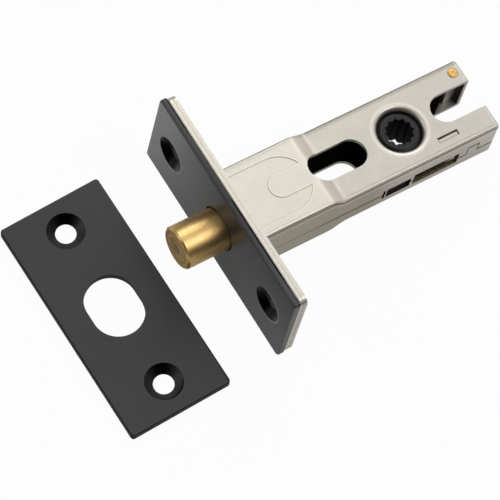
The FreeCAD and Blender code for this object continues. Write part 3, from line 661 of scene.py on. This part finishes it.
class CaseNickel(Nickel):
    """Nickel case, with painted shade along its bends, seams, cut edges, pressed lines and
    insides, and painted light on its top, bends, creases, collar and rear lip.
    """

    def __init__(self, colour):
        super().__init__("nickel_case", colour)
        self.across, self.along, self.up = self.axes()
        self.side = self.along.absolute()
        self.endward, self.sideward, self.upward = (part.absolute() for part in self.facing())
        self.near = self.along.step(*NEAR_HALF)
        self.front = self.across.step(JOGGLE_FOOT, JOGGLE_RIDGE)
        self.on_top = self.upward.step(*TOP_FACING) * self.up.step(*UPPER_HALF)

    def made(self):
        self.walls()
        self.bends()
        self.joggle()
        self.fork_line()
        sheet = self.cut_sheet()
        room = self.room()
        crack = self.seams(sheet)
        self.lance()
        halo, lit = self.collar()
        self.rivet_and_lip()
        rough = self.rough - halo * HALO_GLOSS + sheet * SHEET_ROUGH
        metal = NICKEL_METAL - sheet * SHEET_DULL - (crack + room) * DARK_DULL
        metal = (metal - lit * COLLAR_DULL).most(0.0)
        return self.surface(rough, metal, self.height - crack * SEAM_DEPTH, *CASE_RELIEF)

    def walls(self):
        # The case is painted darker towards its rear, as painted shade
        self.wash(self.across.fall(*REARWARD), *REARWARD_SHADE_WASH)
        # Outer side walls: painted shade towards the front, a painted highlight towards the rear
        walls = self.sideward.step(*WALL_FACING) * self.side.step(*WALL_SIDE)
        forward = self.across.step(*WALL_FRONT)
        self.stain_and_shade(walls * forward, *FRONT_WALL_SHADE)
        self.paint_highlight(walls * (1 - forward), REAR_WALL_SHINE)

    def bends(self):
        # Painted shade on the bends, strongest on the near front bend, and a painted highlight on
        # the near rear bend
        arc = self.side.step(*BEND_ARC)
        bend_shade_share = self.near * self.front * NEAR_BEND + (1 - self.near) * FAR_BEND
        self.stain_and_shade(self.upward.band(*BEND_FACING) * arc * bend_shade_share, BEND_SHADE)
        rolled = self.upward.band(*ROLLED_FACING) * arc * self.near * (1 - self.front)
        self.paint_highlight(rolled, ROLLED_SHINE)

        # A line of painted shade just under the bend, and a painted highlight on the near wall
        # below it
        below = REAR_HIGH + self.front * (FRONT_HIGH - REAR_HIGH) - self.up
        outside = self.side.step(*WALL_OUTSIDE)
        under = (below - self.front * UNDER_DROP).band(*UNDER_LINE) * outside
        self.stain_and_shade(under, *UNDER_SHADE)
        lower = below.fall(*LOWER_LINE) * outside * self.near * (1 - under)
        self.paint_highlight(lower, LOWER_SHINE)

        # Painted shade where the near bend starts and along the far bend
        flat = self.upward.step(*FLAT_FACING) * self.up.step(*UPPER_HALF)
        self.stain_and_shade(self.side.band(*BEFORE_LINE) * self.near * flat, *BEFORE_SHADE)
        far = self.side.step(*FAR_FADE) * (1 - self.near) * self.upward.step(*FADE_FACING)
        self.stain_and_shade(far, *FADE_SHADE)

    def joggle(self):
        slope = self.across.band(JOGGLE_FOOT, JOGGLE_RIDGE, JOGGLE_SOFT)
        from_ridge = (self.across - JOGGLE_RIDGE).absolute()
        from_foot = (self.across - JOGGLE_FOOT).absolute()
        crease = from_ridge.least(from_foot).fall(*CREASE_LINE)
        # Painted light: a warmer pale slope, pale creases and a paler front top
        self.wash(slope * self.on_top, SLOPE_LIGHT_TINT, SLOPE_SHARE)
        self.paint_highlight(crease * self.on_top, CREASE_SHINE)
        self.paint_highlight(self.front * self.on_top, FRONT_SHINE)

    def fork_line(self):
        from_centre = self.across - FORK_CENTRE
        outer = from_centre.least(0.0).distance(self.along)
        inner = from_centre.most(0.0).distance(self.along)
        on_outer = self.side.step(*FORK_SIDE) * self.across.fall(*FORK_FRONT)
        on_inner = outer.fall(*FORK_REAR)

        def line(shift, half, soft):
            out = (outer - (FORK_OUTER + shift)).absolute().fall(half, half + soft)
            into = (inner - (FORK_INNER - shift)).absolute().fall(half, half + soft)
            return (out * on_outer).most(into * on_inner) * self.on_top

        # The pressed fork line is painted as a highlight beside a line of shade
        self.paint_highlight(line(FORK_LIT_SHIFT, *FORK_LIT_LINE), FORK_LIT_SHINE)
        self.stain_and_shade(line(0.0, *FORK_DARK_LINE), *FORK_SHADE)

    def cut_sheet(self):
        sheet = self.side.band(*SHEET_CUT) * self.sideward.fall(*SHEET_FACING)
        sheet = sheet * self.up.absolute().fall(*SHEET_HEIGHT)
        speck = self.noise(*RAW_GRAIN).step(*RAW_PATCH)
        raw = self.blend(speck, RAW_DARK, RAW_LIGHT)
        outer = self.side.step(*SHEET_OUTER) * self.across.fall(*REAR_WINDOWS)
        # Raw steel on the rear windows' outer cut, painted shade on the rest of the cut sheet
        self.lay(sheet, self.blend(outer, INNER_SHADE, raw))
        return sheet

    def room(self):
        body = self.across.step(*ROOM_REAR)
        prong = self.across.fall(*PRONG_ROOM_FRONT) * self.across.step(*PRONG_ROOM_REAR)
        upright = self.sideward.most(self.endward).step(*WALL_OR_END)
        room = self.side.fall(*ROOM_SIDE) * self.up.absolute().fall(*ROOM_HEIGHT)
        room = room * (upright * prong.most(body)).most(body)
        # Painted shade on the surfaces inside the case
        self.lay(room, INNER_SHADE, ROOM_DARKNESS)
        return room

    def seams(self, sheet):
        in_tab = self.across.band(TAB_REAR, TAB_FRONT, TAB_SOFT)
        level = in_tab * (2 * SEAM_HALF) - SEAM_HALF
        seam = (self.up - level).absolute().fall(*SEAM_LINE)
        tab_box = ((TAB_REAR, TAB_FRONT), (-SEAM_HALF, SEAM_HALF))
        tab = outline(self.across, self.up, tab_box, *TAB_LINE) * self.up.band(*TAB_HEIGHT)
        upright = self.sideward.most(self.endward).step(*WALL_OR_END)
        crack = seam.most(tab) * upright * self.side.step(*SEAM_SIDE) * (1 - sheet)
        crack = crack * (1 - self.across.step(*SEAM_FRONT) * SEAM_FRONT_LOSS)
        # The seam and the tab's outline get painted shade
        self.lay(crack, SEAM_DARK, SEAM_DARKNESS)
        window = outline(self.across, self.up, LONG_WINDOW, *WINDOW_LINE)
        window = window * self.sideward.step(*WALL_OR_END) * self.along.step(*NEAR_WALL)
        # Painted shade round the long window's edges
        self.stain_and_shade(window, *WINDOW_SHADE)
        return crack

    def lance(self):
        line = outline(self.across, self.along, LANCE_BOX, *LANCE_LINE)
        # Painted shade round the lance's outline
        self.stain_and_shade(line * self.up.step(*LANCE_HEIGHT), *LANCE_SHADE)

    def collar(self):
        from_hub = self.across - HUB_PLACE
        radius = from_hub.distance(self.along)
        halo = radius.band(*HALO_RING)
        lit = (self.along - from_hub).step(*COLLAR_LIT) * radius.band(*COLLAR) * self.on_top
        roll = radius.fall(*ROLL_OUTER) * radius.step(*ROLL_INNER)
        # Painted shade on the collar round the hub
        self.stain_and_shade(roll, *ROLL_SHADE)
        # A painted highlight ring round the collar, which is also a little glossier
        self.paint_highlight(halo, HALO_SHINE)
        # A painted highlight on the collar's lit side
        self.paint_highlight(lit, COLLAR_SHINE)
        return halo, lit

    def rivet_and_lip(self):
        from_rivet = (self.across - RIVET_ACROSS).distance(self.along - RIVET_ALONG)
        ring = (from_rivet - RIVET_RADIUS).absolute().fall(*RIVET_LINE)
        # Painted shade round the rivet head
        self.stain_and_shade(ring * self.on_top, *RIVET_SHADE)
        # A painted highlight along the rear lip
        self.paint_highlight(self.across.fall(*REAR_LIP) * self.on_top, LIP_SHINE)


class PRIVACY_OT_case(bpy.types.Operator):
    """Dull nickel plating of the case and of the inner forend plate"""

    bl_idname = "privacy.case"
    bl_label = "Nickel case"

    def execute(self, context):
        colour = context.scene.privacy_finish.nickel
        wear(CaseNickel(colour).made(), NODES["case_upper"], NODES["case_lower"])
        wear(nickel_plate(colour), NODES["forend_plate"])
        return {"FINISHED"}


# Turned bolt
END_FACING = (0.7, 0.9)
SIDE_STRETCH = (9.0, 0.12, 0.12)
SIDE_GRAIN = (1.0, 4.0, 0.65)
END_GRAIN = (1.0, 3.0, 0.6)
STAIN_GRAIN = (0.7, 4.0, 0.65)
RINGS_PER_MM = 6.0
GROOVES_PER_MM = 1.5
GROOVE_DRIFT = 0.15
GROOVE_PATCH = (0.42, 0.60)
MARK_PATCH = (0.3, 0.7)
STAIN_PATCH = (0.45, 0.75)
BRASS_DEEP = (0.72, 0.64, 0.52)
MARK_SHARE = 0.5
STAIN_SHARE = 0.4
END_LIT_TONE = (1.0, 0.68, 0.29)
END_DEEP = (0.62, 0.38, 0.14)
END_SHARE = 0.9
END_CENTRE = (0.5, 2.4)
CENTRE_BROWN = (0.20, 0.11, 0.04)
CENTRE_SHARE = 0.5
END_RIM = (4.50, 5.2, 0.10)
RIM_HIGHLIGHT_GOLD = (1.0, 0.74, 0.34)
RIM_SHARE = 0.8
BRASS_ROUGH = (0.31, 0.12)
END_ROUGH = 0.04
END_DULL = 0.70
BRASS_RELIEF = (0.35, 0.04 * MM)
BRASS_COAT = {"Coat Weight": 0.25, "Coat Roughness": 0.30}


def turned_brass(colour):
    """Brass with fine tool marks round its side and wider grooves on its end, whose pale tone is
    partly painted light, and a painted highlight on the end's rim.
    """
    finish = Finish("turned_brass", colour)
    _, along, up = finish.axes()
    facing_x, _, _ = finish.facing()
    radius = along.distance(up)
    on_end = facing_x.absolute().step(*END_FACING)
    side_marks = finish.noise(*SIDE_GRAIN, finish.stretch(SIDE_STRETCH))
    end_marks = finish.noise(*END_GRAIN, finish.combine(radius * RINGS_PER_MM))
    marks = side_marks * (1 - on_end) + end_marks * on_end
    finish.wash(marks.step(*MARK_PATCH), BRASS_DEEP, MARK_SHARE)
    finish.wash(finish.noise(*STAIN_GRAIN).step(*STAIN_PATCH), BRASS_DEEP, STAIN_SHARE)

    grooves = finish.combine(radius * GROOVES_PER_MM, along * GROOVE_DRIFT)
    groove = finish.noise(*END_GRAIN, grooves).step(*GROOVE_PATCH)
    # Turning grooves on the end face; their pale tone is set paler than the side's brass, as
    # painted light
    finish.lay(on_end, finish.blend(groove, END_LIT_TONE, END_DEEP), END_SHARE)
    finish.lay(radius.fall(*END_CENTRE) * on_end, CENTRE_BROWN, CENTRE_SHARE)
    # A painted highlight on the rim of the end face
    finish.lay(radius.band(*END_RIM) * on_end, RIM_HIGHLIGHT_GOLD, RIM_SHARE)

    rough = marks.above(*BRASS_ROUGH) + on_end * END_ROUGH
    return finish.surface(rough, 1 - on_end * END_DULL, marks, *BRASS_RELIEF, BRASS_COAT)


class PRIVACY_OT_bolt(bpy.types.Operator):
    """Turned brass of the bolt, with fine tool marks round its side and its end"""

    bl_idname = "privacy.bolt"
    bl_label = "Brass bolt"

    def execute(self, context):
        wear(turned_brass(context.scene.privacy_finish.brass), NODES["bolt_nose"])
        return {"FINISHED"}


# Rivet heads, with each inset of the dome as its width and its rise
HEAD_SHARE = 0.88
HEAD_CORNERS = 48
HEAD_RISE = 0.08 * MM
HEAD_INSETS = ((0.16 * MM, 0.07 * MM), (0.3 * MM, -0.05 * MM), (0.3 * MM, -0.01 * MM))
HEAD_SMOOTH = math.radians(50.0)
PEEN_GRAIN = (3.0, 4.0, 0.7)
PEEN_PATCH = (0.4, 0.7)
PEEN_TINT = (0.92, 0.80, 0.62)
DENT_TINT = 0.5
PEEN_ROUGH = (0.3, 0.2)
PEEN_RELIEF = (0.4, 0.05 * MM)


def peened_brass(colour):
    """Brass that a hammer has marked."""
    finish = Finish("peened_brass", tinted(colour, PEEN_TINT))
    marks = finish.noise(*PEEN_GRAIN)
    finish.lay(marks.step(*PEEN_PATCH), tinted(colour, DENT_TINT))
    return finish.surface(marks.above(*PEEN_ROUGH), 1.0, marks, *PEEN_RELIEF)


class PRIVACY_OT_rivet(bpy.types.Operator):
    """Peened brass heads of the rivet in the far prong"""

    bl_idname = "privacy.rivet"
    bl_label = "Rivet"

    def execute(self, context):
        low, high = (Vector(corner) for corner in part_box("prong_rivet"))
        middle = (low + high) / 2
        radius = (high.x - low.x) / 2 * HEAD_SHARE
        top = self.head((middle.x, middle.y, high.z), radius)
        under = top.copy()
        under.data = top.data.copy()
        under.location.z = low.z
        under.rotation_euler.x = math.pi
        context.collection.objects.link(under)
        material = peened_brass(context.scene.privacy_finish.brass)
        wear(material, top, under, NODES["prong_rivet"])
        self.settle(top, "rivet_head_top")
        self.settle(under, "rivet_head_under")
        return {"FINISHED"}

    def head(self, place, radius):
        """One low dome that stands on its place and opens upwards."""
        deselect()
        bpy.ops.mesh.primitive_circle_add(
            vertices=HEAD_CORNERS, radius=radius, fill_type="NGON", location=place
        )
        bpy.ops.object.mode_set(mode="EDIT")
        bpy.ops.mesh.select_all(action="SELECT")
        bpy.ops.mesh.extrude_region_move(TRANSFORM_OT_translate={"value": (0, 0, HEAD_RISE)})
        for thickness, depth in HEAD_INSETS:
            bpy.ops.mesh.inset(thickness=thickness, depth=depth)
        bpy.ops.mesh.select_all(action="SELECT")
        bpy.ops.mesh.normals_make_consistent(inside=False)
        bpy.ops.object.mode_set(mode="OBJECT")
        return bpy.context.object

    def settle(self, head, name):
        """Puts a head's place into its mesh, names it and gives it to the case."""
        deselect()
        head.select_set(True)
        bpy.context.view_layer.objects.active = head
        bpy.ops.object.transform_apply(location=True, rotation=True, scale=True)
        bpy.ops.object.shade_smooth_by_angle(angle=HEAD_SMOOTH)
        head.name = name
        head.data.name = name
        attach(head, "case")


# Hub and slide
BORE_IN_HUB = (3.9, 4.1)
HUB_ENDS = (4.85, 4.98)
HUB_CHAMFER = (4.35, 4.5)
RING_LIT = (-1.0, 5.0)
RING_LIGHT_WASH = (3.2, 0.7)
HUB_BORE_DARK = (0.0012, 0.0012, 0.0012)
HUB_BORE_DARKNESS = 0.9
HUB_BORE_ROUGH = 0.3
CHAMFER_DARK = (0.0015, 0.0015, 0.0015)
CHAMFER_DARKNESS = 0.85
CAST_GRAIN = (5.0, 4.0, 0.7)
CAST_CLOUD = (0.6, 2.0, 0.5)
CAST_CLOUD_TINT = 1.5
CAST_ROUGH = (0.30, 0.12)
CAST_RELIEF = (0.25, 0.05 * MM)
CAST_SHINE = {"Specular IOR Level": 0.35}


def black_casting(colour):
    """Cast black hub and slide, with painted shade in the hub's opening, painted light on one
    side of the ring round it, and a darker chamfer.
    """
    finish = Finish("black_casting", colour)
    across, along, up = finish.axes()
    grain = finish.noise(*CAST_GRAIN)
    finish.wash(finish.noise(*CAST_CLOUD), CAST_CLOUD_TINT)
    from_hub = across - HUB_PLACE
    radius = from_hub.distance(along)
    bore = radius.fall(*BORE_IN_HUB) * up.absolute().fall(*HUB_ENDS)
    # Painted shade in the hub's bore
    finish.lay(bore, HUB_BORE_DARK, HUB_BORE_DARKNESS)
    ring = radius.step(*BORE_IN_HUB) * (from_hub - along).step(*RING_LIT)
    # The ring round the bore is painted paler on its lit side
    finish.wash(ring, *RING_LIGHT_WASH)
    finish.lay(radius.step(*HUB_CHAMFER), CHAMFER_DARK, CHAMFER_DARKNESS)
    rough = grain.above(*CAST_ROUGH) + bore * HUB_BORE_ROUGH
    return finish.surface(rough, 0.0, grain, *CAST_RELIEF, CAST_SHINE)


class PRIVACY_OT_castings(bpy.types.Operator):
    """Black hub and slide, with a fine cast grain"""

    bl_idname = "privacy.castings"
    bl_label = "Hub and slide"

    def execute(self, context):
        material = black_casting(context.scene.privacy_finish.casting)
        wear(material, NODES["hub"], NODES["bolt_slide"])
        return {"FINISHED"}


# Nylon parts and prong block
FLOW_STRETCH = (0.6, 0.6, 0.1)
FLOW_GRAIN = (1.0, 2.0, 0.5)
FLOW_TINT = 1.8
NYLON_GRAIN = (2.5, 3.0, 0.6)
NYLON_PATCH = (0.5, 0.7)
NYLON_TINT = 3.0
NYLON_GRAIN_HEIGHT = 0.5
NYLON_ROUGH = (0.35, 0.15)
NYLON_RELIEF = (0.2, 0.08 * MM)
NYLON_SHINE = {"Specular IOR Level": 0.0}
BLOCK_GRAIN = (2.0, 3.0, 0.6)
BLOCK_DEEP = (0.30, 0.29, 0.27)
BLOCK_LIGHT = (0.42, 0.405, 0.38)
BLOCK_ROUGH = (0.3, 0.15)
BLOCK_METAL = 0.6
BLOCK_RELIEF = (0.2, 0.06 * MM)


def black_nylon(colour):
    """Moulded nylon that hardly shines, with flow marks and a fine grain."""
    finish = Finish("black_nylon", colour)
    grain = finish.noise(*NYLON_GRAIN)
    flow = finish.noise(*FLOW_GRAIN, finish.stretch(FLOW_STRETCH))
    finish.wash(flow, FLOW_TINT)
    finish.wash(grain.step(*NYLON_PATCH), NYLON_TINT)
    height = grain * NYLON_GRAIN_HEIGHT + flow
    return finish.surface(grain.above(*NYLON_ROUGH), 0.0, height, *NYLON_RELIEF, NYLON_SHINE)


def grey_block():
    """Dull grey metal of the block in the far prong."""
    finish = Finish("grey_block", BLOCK_DEEP)
    grain = finish.noise(*BLOCK_GRAIN)
    finish.lay(grain, BLOCK_LIGHT)
    return finish.surface(grain.above(*BLOCK_ROUGH), BLOCK_METAL, grain, *BLOCK_RELIEF)


class PRIVACY_OT_linings(bpy.types.Operator):
    """Moulded black nylon of the linings and the nose guide, and the grey prong block"""

    bl_idname = "privacy.linings"
    bl_label = "Nylon parts"

    def execute(self, context):
        nylon = black_nylon(context.scene.privacy_finish.nylon)
        wear(nylon, NODES["slot_lining"], NODES["notch_lining"], NODES["nose_guide"])
        wear(grey_block(), NODES["prong_block"])
        return {"FINISHED"}


# Spring and cross pin
SPRING_GRAIN = (1.6, 4.0, 0.65)
SPRING_PATCH = (0.4, 0.62)
SPRING_TINT = 0.35
SPRING_ROUGH = (0.38, 0.15)
SPRING_METAL = 0.9
SPRING_RELIEF = (0.3, 0.05 * MM)
DRAWN_STRETCH = (6.0, 6.0, 0.3)
DRAWN_GRAIN = (1.0, 3.0, 0.6)
STEEL_LIGHT = (0.5, 0.5, 0.51)
STEEL_DEEP = (0.38, 0.38, 0.39)
STEEL_ROUGH = (0.3, 0.1)
STEEL_RELIEF = (0.2, 0.03 * MM)


def bronze_strip(colour):
    """Bronze strip with dark blotches."""
    finish = Finish("bronze_strip", colour)
    mottle = finish.noise(*SPRING_GRAIN)
    finish.wash(mottle.step(*SPRING_PATCH), SPRING_TINT)
    return finish.surface(mottle.above(*SPRING_ROUGH), SPRING_METAL, mottle, *SPRING_RELIEF)


def drawn_steel():
    """Bright steel with fine lines along the pin."""
    finish = Finish("drawn_steel", STEEL_LIGHT)
    lines = finish.noise(*DRAWN_GRAIN, finish.stretch(DRAWN_STRETCH))
    finish.lay(lines, STEEL_DEEP)
    return finish.surface(lines.above(*STEEL_ROUGH), 1.0, lines, *STEEL_RELIEF)


class PRIVACY_OT_springs(bpy.types.Operator):
    """Mottled bronze of the friction spring and bright steel of the cross pin"""

    bl_idname = "privacy.springs"
    bl_label = "Spring and pin"

    def execute(self, context):
        wear(bronze_strip(context.scene.privacy_finish.bronze), NODES["friction_spring"])
        wear(drawn_steel(), NODES["nose_pin"])
        return {"FINISHED"}


# Studio, with each lamp as its name, place, size and power
LAMPS = (
    ("lamp_key", (-0.75, -0.95, 1.05), 0.7, 4.0),
    ("lamp_fill", (0.95, -0.55, 0.60), 0.6, 2.2),
    ("lamp_band", (-0.50, 0.56, 1.20), 0.75, 3.1),
)
LAMP_AIM = Vector((-0.01, 0.0, 0.0))
SENSOR_WIDTH = 36.0
CLIP_START = 0.01
CLIP_END = 20.0
TABLE_SIZE = 6.0
TABLE_GREY = (0.80, 0.80, 0.80)
WHITE = (1.0, 1.0, 1.0)
WHITE_TO_CAMERA = 0.965
WHITE_IN_GLOSS = 0.25
WHITE_THROUGH_GLASS = 0.90
SOFTBOX_WAY = (-0.60, -0.20, 0.775)
SOFTBOX_EDGE = (0.30, 0.85)
SOFTBOX_GLOW = 0.62
ROOM_GLOW = 0.07


class PRIVACY_OT_studio(bpy.types.Operator):
    """Pale table that the lock leans on, soft lamps and the camera"""

    bl_idname = "privacy.studio"
    bl_label = "Studio"

    def execute(self, context):
        settings = context.scene.privacy_studio
        self.table(settings)
        self.lamps(context.scene)
        self.world(context.scene)
        self.camera(context.scene, settings)
        context.scene.view_settings.view_transform = "Standard"
        return {"FINISHED"}

    def table(self, settings):
        deselect()
        bpy.ops.mesh.primitive_plane_add(size=TABLE_SIZE)
        table = bpy.context.object
        table.name = "table_top"
        turn = Matrix.Rotation(settings.table_tilt, 4, "Y")
        table.matrix_world = Matrix.Translation((0, 0, -settings.table_drop)) @ turn
        material = bpy.data.materials.new("pale_table")
        material.use_nodes = True
        nodes = Nodes(material.node_tree, "ShaderNodeOutputMaterial")
        path = nodes.node("ShaderNodeLightPath")
        seen = Value(nodes, path.outputs["Is Camera Ray"]) * WHITE_TO_CAMERA
        seen = seen + Value(nodes, path.outputs["Is Glossy Ray"]) * WHITE_IN_GLOSS
        seen = seen + Value(nodes, path.outputs["Is Transmission Ray"]) * WHITE_THROUGH_GLASS
        plain = nodes.node("ShaderNodeBsdfDiffuse", None, {"Color": TABLE_GREY})
        glow = {"Color": WHITE, "Strength": 1.0}
        white = nodes.node("ShaderNodeEmission", None, glow)
        parts = {0: seen, 1: plain.outputs[0], 2: white.outputs[0]}
        mixed = nodes.node("ShaderNodeMixShader", None, parts)
        nodes.feed(nodes.output.inputs[0], mixed.outputs[0])
        wear(material, table)

    def lamps(self, scene):
        for name, place, size, power in LAMPS:
            lamp = bpy.data.lights.new(name, "AREA")
            lamp.shape = "SQUARE"
            lamp.size = size
            lamp.energy = power
            holder = bpy.data.objects.new(name, lamp)
            holder.location = place
            holder.rotation_euler = (LAMP_AIM - Vector(place)).to_track_quat("-Z", "Y").to_euler()
            scene.collection.objects.link(holder)

    def world(self, scene):
        world = bpy.data.worlds.new("studio_world")
        world.use_nodes = True
        scene.world = world
        sky = Nodes(world.node_tree, "ShaderNodeOutputWorld")
        path = sky.node("ShaderNodeLightPath")
        way = sky.node("ShaderNodeTexCoord").outputs["Generated"]
        settings = {"operation": "DOT_PRODUCT"}
        softbox = sky.node("ShaderNodeVectorMath", settings, {0: way, 1: SOFTBOX_WAY})
        overhead = Value(sky, softbox.outputs["Value"]).step(*SOFTBOX_EDGE)
        strength = overhead * SOFTBOX_GLOW + ROOM_GLOW
        lit = sky.node("ShaderNodeBackground", None, {"Color": WHITE, "Strength": strength})
        seen = sky.node("ShaderNodeBackground", None, {"Color": WHITE, "Strength": 1.0})
        parts = {0: path.outputs["Is Camera Ray"], 1: lit.outputs[0], 2: seen.outputs[0]}
        mixed = sky.node("ShaderNodeMixShader", None, parts)
        sky.feed(sky.output.inputs[0], mixed.outputs[0])

    def camera(self, scene, settings):
        camera = bpy.data.cameras.new("studio_camera")
        camera.lens = settings.lens
        camera.sensor_width = SENSOR_WIDTH
        camera.clip_start = CLIP_START
        camera.clip_end = CLIP_END
        holder = bpy.data.objects.new("studio_camera", camera)
        holder.location = settings.camera_place
        holder.rotation_euler = settings.camera_turn
        scene.collection.objects.link(holder)
        scene.camera = holder


OPERATORS = (
    PRIVACY_OT_plates,
    PRIVACY_OT_case,
    PRIVACY_OT_bolt,
    PRIVACY_OT_rivet,
    PRIVACY_OT_castings,
    PRIVACY_OT_linings,
    PRIVACY_OT_springs,
    PRIVACY_OT_studio,
)


class PRIVACY_PT_sidebar(bpy.types.Panel):
    """Settings and buttons for each group of finishes and pieces"""

    bl_idname = "PRIVACY_PT_sidebar"
    bl_label = "Privacy bolt"
    bl_space_type = "VIEW_3D"
    bl_region_type = "UI"
    bl_category = "Privacy bolt"

    def draw(self, context):
        for settings in (context.scene.privacy_finish, context.scene.privacy_studio):
            for name in settings.__annotations__:
                self.layout.prop(settings, name)
        for operator in OPERATORS:
            self.layout.operator(operator.bl_idname)


CLASSES = (FinishSettings, StudioSettings, *OPERATORS, PRIVACY_PT_sidebar)


def register():
    for cls in CLASSES:
        bpy.utils.register_class(cls)
    bpy.types.Scene.privacy_finish = bpy.props.PointerProperty(type=FinishSettings)
    bpy.types.Scene.privacy_studio = bpy.props.PointerProperty(type=StudioSettings)


def unregister():
    del bpy.types.Scene.privacy_studio
    del bpy.types.Scene.privacy_finish
    for cls in reversed(CLASSES):
        bpy.utils.unregister_class(cls)


def main():
    register()
    bpy.ops.privacy.plates()
    bpy.ops.privacy.case()
    bpy.ops.privacy.bolt()
    bpy.ops.privacy.rivet()
    bpy.ops.privacy.castings()
    bpy.ops.privacy.linings()
    bpy.ops.privacy.springs()
    bpy.ops.privacy.studio()


if __name__ == "__main__":
    main()
